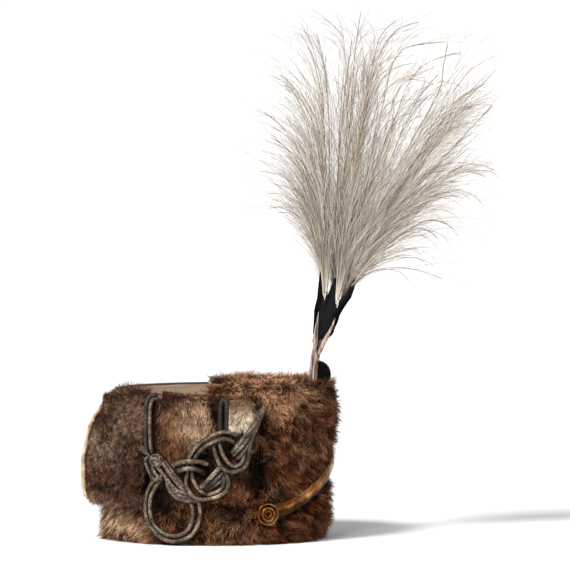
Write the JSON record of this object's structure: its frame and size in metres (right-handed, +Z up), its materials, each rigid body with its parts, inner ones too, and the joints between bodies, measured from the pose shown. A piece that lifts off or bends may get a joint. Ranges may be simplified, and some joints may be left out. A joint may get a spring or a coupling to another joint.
{
  "type": "busby hat",
  "caption": "Oval fur cap with stiff wall and cloth crown, fur flaps, plaited cap cord, gilt chin strap with bosses, black cockade and tall fanned plume.",
  "frame": {"origin": "centre of the whole object's plan, on the plane of the cap's rim, which is the surface it rests on", "axes": "+Z up, +X towards the front of the hat, -Y towards the wearer's right side, which carries the cord"},
  "size_m": [0.4178, 0.2142, 0.5162],
  "materials": {
    "cap_hide": "matte",
    "crown_cloth": "matte",
    "dark_piping": "matte",
    "fur_red": "matte",
    "fur_brown": "matte",
    "fur_grey": "matte",
    "bare_hide": "matte",
    "gilt": "satin",
    "silver_cord": "satin",
    "cockade_wool": "matte",
    "quill": "satin",
    "black_feather": "matte",
    "white_feather": "matte"
  },
  "bodies": {
    "root": {"cap_shell": "cap_hide", "crown_top": "crown_cloth", "crown_piping": "dark_piping", "front_fur": "fur_red", "rear_fur": "fur_brown", "rim_fur": "fur_red", "rear_flap": "fur_grey", "flap_edge": "bare_hide", "right_side_flap": "fur_brown", "left_side_flap": "fur_brown", "hide_tab": "bare_hide", "chin_strap": "gilt", "boss_right": "gilt", "boss_left": "gilt", "cockade": "cockade_wool", "plume_socket": "dark_piping", "quill_stem": "quill", "quill_left": "quill", "quill_right": "quill", "feather_base": "black_feather", "plume_left": "white_feather", "plume_centre": "white_feather", "plume_right": "white_feather", "plaited_knot": "silver_cord", "rear_cord": "silver_cord", "front_cord": "silver_cord", "ring_cord": "silver_cord", "end_knot": "silver_cord", "cord_end": "silver_cord"}
  },
  "joints": []
}
